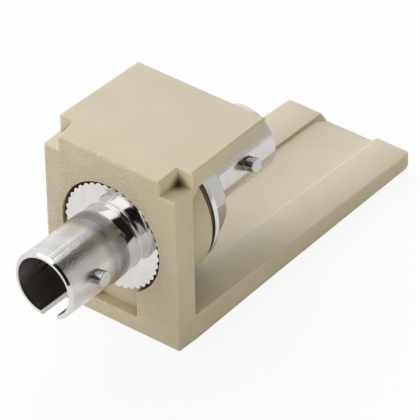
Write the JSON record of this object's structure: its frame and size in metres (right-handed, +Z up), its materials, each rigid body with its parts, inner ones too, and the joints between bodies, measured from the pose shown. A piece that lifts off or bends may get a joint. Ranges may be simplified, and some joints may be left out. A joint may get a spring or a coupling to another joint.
{
  "type": "st fibre adapter",
  "caption": "Ivory snap-in panel module with a long latch arm, carrying a nickel bayonet coupler for two fibre plugs through its front wall, held by washers and a hexagon nut.",
  "frame": {"origin": "middle of the alignment sleeve, on the coupler's axis", "axes": "+Y along the coupler from the front of the panel to the back, +X to the right seen from the front, +Z up, away from the latch arm"},
  "size_m": [0.0156, 0.0457, 0.0189],
  "materials": {
    "ivory_plastic": "moulded ivory, finely textured front",
    "nickel": "nickel plated, turned and lightly tumbled",
    "bronze": "bare phosphor bronze",
    "bright_pin": "polished",
    "washer_plate": "bright plated",
    "nut_plate": "bright plated, satin flats"
  },
  "bodies": {
    "root": {"housing": "ivory_plastic", "front_body": "nickel", "rear_body": "nickel", "alignment_sleeve": "bronze", "front_lug_right": "bright_pin", "front_lug_left": "bright_pin", "rear_lug_right": "bright_pin", "rear_lug_left": "bright_pin", "flat_washer": "washer_plate", "lock_washer": "washer_plate", "hex_nut": "nut_plate"}
  },
  "joints": []
}
